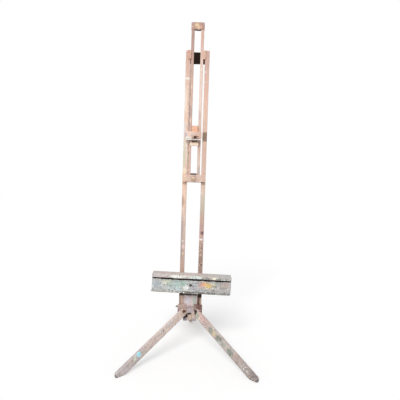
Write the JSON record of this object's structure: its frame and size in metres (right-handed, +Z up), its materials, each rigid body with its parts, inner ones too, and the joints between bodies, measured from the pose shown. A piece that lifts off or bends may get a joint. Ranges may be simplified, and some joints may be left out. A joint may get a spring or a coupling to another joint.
{
  "type": "artist easel",
  "caption": "Wooden radial studio easel: tilting mast of paired stiles on a tripod hub, with a sliding top frame, a canvas clamp and a sliding canvas tray.",
  "frame": {"origin": "centre of the three feet's footprint, on the floor", "axes": "+Z up along the mast, -Y towards the painter (front), +X to the right seen from the front"},
  "size_m": [0.8274, 0.8156, 2.119],
  "materials": {
    "mast_wood": "worn, oiled",
    "head_block_wood": "stained nearly black",
    "frame_wood": "worn, oiled",
    "clamp_block_wood": "bare",
    "tray_wood": "worn, paint-stained",
    "hub_painted_wood": "old grey paint",
    "leg_wood": "worn, dirty",
    "bolt_steel": "dark, rusty",
    "wing_nut_iron": "dark, worn"
  },
  "bodies": {
    "stand": {"hub_core": "hub_painted_wood", "hub_vee_block_left": "leg_wood", "hub_vee_block_right": "leg_wood", "leg_stop_pegs": "leg_wood", "front_leg_bolts": "bolt_steel", "front_leg_washers": "bolt_steel", "rear_leg_bolt": "bolt_steel", "rear_leg_washer": "bolt_steel", "tilt_bolt": "bolt_steel", "tilt_washers": "bolt_steel"},
    "leg_left": {"leg_left": "leg_wood"},
    "leg_right": {"leg_right": "leg_wood"},
    "leg_rear": {"leg_rear": "leg_wood"},
    "mast": {"stile_left": "mast_wood", "stile_right": "mast_wood", "head_plate": "head_block_wood", "guide_cleat_left": "mast_wood", "guide_cleat_right": "mast_wood", "head_screws": "bolt_steel"},
    "sliding_frame": {"frame_bar_left": "frame_wood", "frame_bar_right": "frame_wood", "frame_top_block": "frame_wood", "frame_bottom_rail": "frame_wood", "frame_crosspiece": "frame_wood", "frame_back_plate": "frame_wood", "frame_bolt": "bolt_steel", "frame_washer": "bolt_steel"},
    "canvas_clamp": {"clamp_block": "clamp_block_wood", "clamp_crossbar": "frame_wood", "clamp_lip": "frame_wood", "clamp_pads": "frame_wood", "clamp_bolt": "bolt_steel", "clamp_washer": "bolt_steel"},
    "canvas_tray": {"tray_ledge": "tray_wood", "tray_apron": "tray_wood", "tray_strip": "tray_wood", "tray_bearer": "tray_wood", "tray_gussets": "tray_wood", "tray_key": "tray_wood", "tray_back_plate": "tray_wood", "tray_bolt": "bolt_steel", "tray_washer": "bolt_steel", "tray_screws": "bolt_steel"},
    "tilt_nut": {"tilt_wing_nut": "wing_nut_iron"},
    "leg_nut_left": {"leg_wing_nut_left": "wing_nut_iron"},
    "leg_nut_right": {"leg_wing_nut_right": "wing_nut_iron"},
    "leg_nut_rear": {"rear_leg_wing_nut": "wing_nut_iron"},
    "frame_nut": {"frame_wing_nut": "wing_nut_iron"},
    "clamp_nut": {"clamp_wing_nut": "wing_nut_iron"},
    "tray_nut": {"tray_wing_nut": "wing_nut_iron"}
  },
  "joints": [
    {"name": "mast_tilt", "type": "hinge", "parent": "stand", "child": "mast", "pos_m": [0, -0.04354, 0.29], "axis": [-1, 0, 0], "range_deg": [-12, 20]},
    {"name": "leg_left_fold", "type": "hinge", "parent": "stand", "child": "leg_left", "pos_m": [-0.048, -0.09754, 0.284], "axis": [0.6441, -0.7649, 0], "range_deg": [0, 55]},
    {"name": "leg_right_fold", "type": "hinge", "parent": "stand", "child": "leg_right", "pos_m": [0.048, -0.09754, 0.284], "axis": [0.6441, 0.7649, 0], "range_deg": [0, 55]},
    {"name": "leg_rear_fold", "type": "hinge", "parent": "stand", "child": "leg_rear", "pos_m": [0, -0.04354, 0.224], "axis": [-1, 0, 0], "range_deg": [0, 60]},
    {"name": "frame_slide", "type": "slide", "parent": "mast", "child": "sliding_frame", "axis": [0, 0, 1], "range_m": [-0.12, 0.65]},
    {"name": "clamp_slide", "type": "slide", "parent": "sliding_frame", "child": "canvas_clamp", "axis": [0, 0, 1], "range_m": [-0.167, 0.585]},
    {"name": "tray_slide", "type": "slide", "parent": "mast", "child": "canvas_tray", "axis": [0, 0, 1], "range_m": [-0.01, 0.4]},
    {"name": "tilt_nut_turn", "type": "hinge", "parent": "stand", "child": "tilt_nut", "pos_m": [-0.075, -0.04354, 0.29], "axis": [-1, 0, 0], "continuous": true},
    {"name": "leg_nut_left_turn", "type": "hinge", "parent": "stand", "child": "leg_nut_left", "pos_m": [-0.048, -0.09754, 0.284], "axis": [0.6441, -0.7649, 0], "continuous": true},
    {"name": "leg_nut_right_turn", "type": "hinge", "parent": "stand", "child": "leg_nut_right", "pos_m": [0.048, -0.09754, 0.284], "axis": [-0.6441, -0.7649, 0], "continuous": true},
    {"name": "leg_nut_rear_turn", "type": "hinge", "parent": "stand", "child": "leg_nut_rear", "pos_m": [-0.0448, -0.04354, 0.224], "axis": [-1, 0, 0], "continuous": true},
    {"name": "frame_nut_turn", "type": "hinge", "parent": "sliding_frame", "child": "frame_nut", "pos_m": [-0.004, -0.01524, 1.143], "axis": [0, 1, 0], "continuous": true},
    {"name": "clamp_nut_turn", "type": "hinge", "parent": "canvas_clamp", "child": "clamp_nut", "pos_m": [0, -0.08154, 1.405], "axis": [0, -1, 0], "continuous": true},
    {"name": "tray_nut_turn", "type": "hinge", "parent": "canvas_tray", "child": "tray_nut", "pos_m": [0, -0.01524, 0.459], "axis": [0, 1, 0], "continuous": true}
  ]
}
